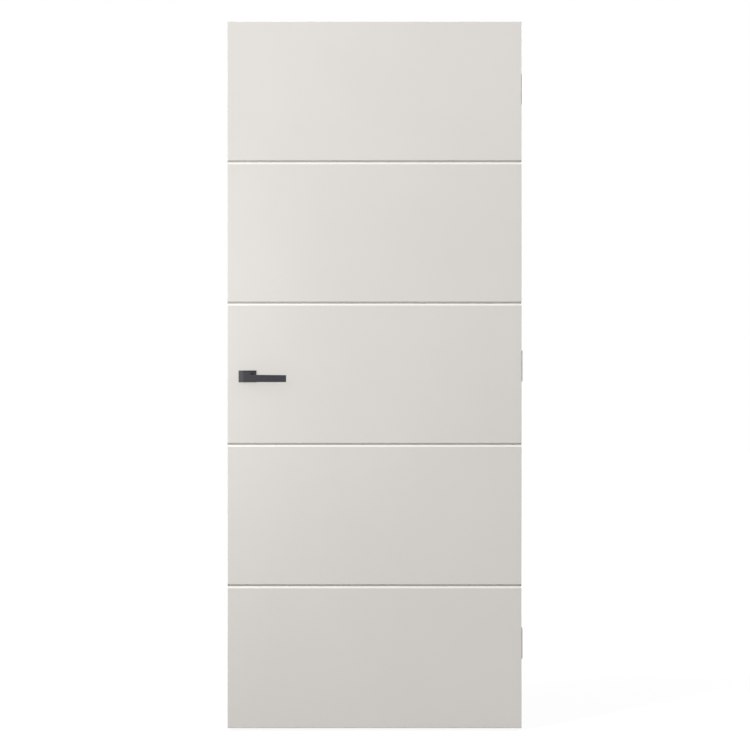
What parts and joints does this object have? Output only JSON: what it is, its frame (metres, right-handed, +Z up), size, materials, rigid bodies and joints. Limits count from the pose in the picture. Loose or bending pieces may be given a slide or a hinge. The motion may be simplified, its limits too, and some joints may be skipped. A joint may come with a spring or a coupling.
{
  "type": "interior door leaf with lever set and hinges",
  "caption": "Tall flush interior door leaf with horizontal V-grooves in both faces, a straight dark lever on a rectangular rose, a flush edge latch and butt hinges.",
  "frame": {"origin": "on the outer face of the bottom hinge's frame leaf, where it is screwed to the jamb, at the hinge's mid height and in the middle plane of the leaf's thickness", "axes": "+X across the leaf towards the hinges and into the jamb, +Y from the front face to the back, which is the side the leaf opens to, +Z up"},
  "size_m": [0.8863, 0.15, 2.115],
  "materials": {
    "lacquer": "off-white satin lacquer over primed board and timber",
    "core_board": "raw board",
    "lever_coat": "matt anthracite powder coat",
    "hinge_steel": "satin stainless",
    "lock_steel": "satin stainless",
    "latch": "black moulded polymer",
    "spindle_steel": "bright drawn bar"
  },
  "bodies": {
    "hinge_frame_side": {"bottom_hinge_frame_leaf": "hinge_steel", "bottom_hinge_pin": "hinge_steel", "middle_hinge_frame_leaf": "hinge_steel", "middle_hinge_pin": "hinge_steel", "top_hinge_frame_leaf": "hinge_steel", "top_hinge_pin": "hinge_steel"},
    "door_leaf": {"front_skin": "lacquer", "back_skin": "lacquer", "lock_stile": "lacquer", "hinge_stile": "lacquer", "bottom_rail": "lacquer", "top_rail": "lacquer", "core_panel": "core_board", "front_rose": "lever_coat", "back_rose": "lever_coat", "bottom_hinge_door_leaf": "hinge_steel", "middle_hinge_door_leaf": "hinge_steel", "top_hinge_door_leaf": "hinge_steel", "lock_faceplate": "lock_steel", "lock_case": "lock_steel", "latch_bolt": "latch"},
    "lever_set": {"front_lever": "lever_coat", "back_lever": "lever_coat", "spindle": "spindle_steel"}
  },
  "joints": [
    {"name": "door_swing", "type": "hinge", "parent": "hinge_frame_side", "child": "door_leaf", "pos_m": [-0.00325, 0.027, 0], "axis": [0, 0, -1], "range_deg": [0, 180]},
    {"name": "lever_turn", "type": "hinge", "parent": "door_leaf", "child": "lever_set", "pos_m": [-0.823, 0, 0.803], "axis": [0, 1, 0], "range_deg": [0, 40], "stiffness_Nm_per_rad": 1.2, "springref_deg": -34.38}
  ]
}
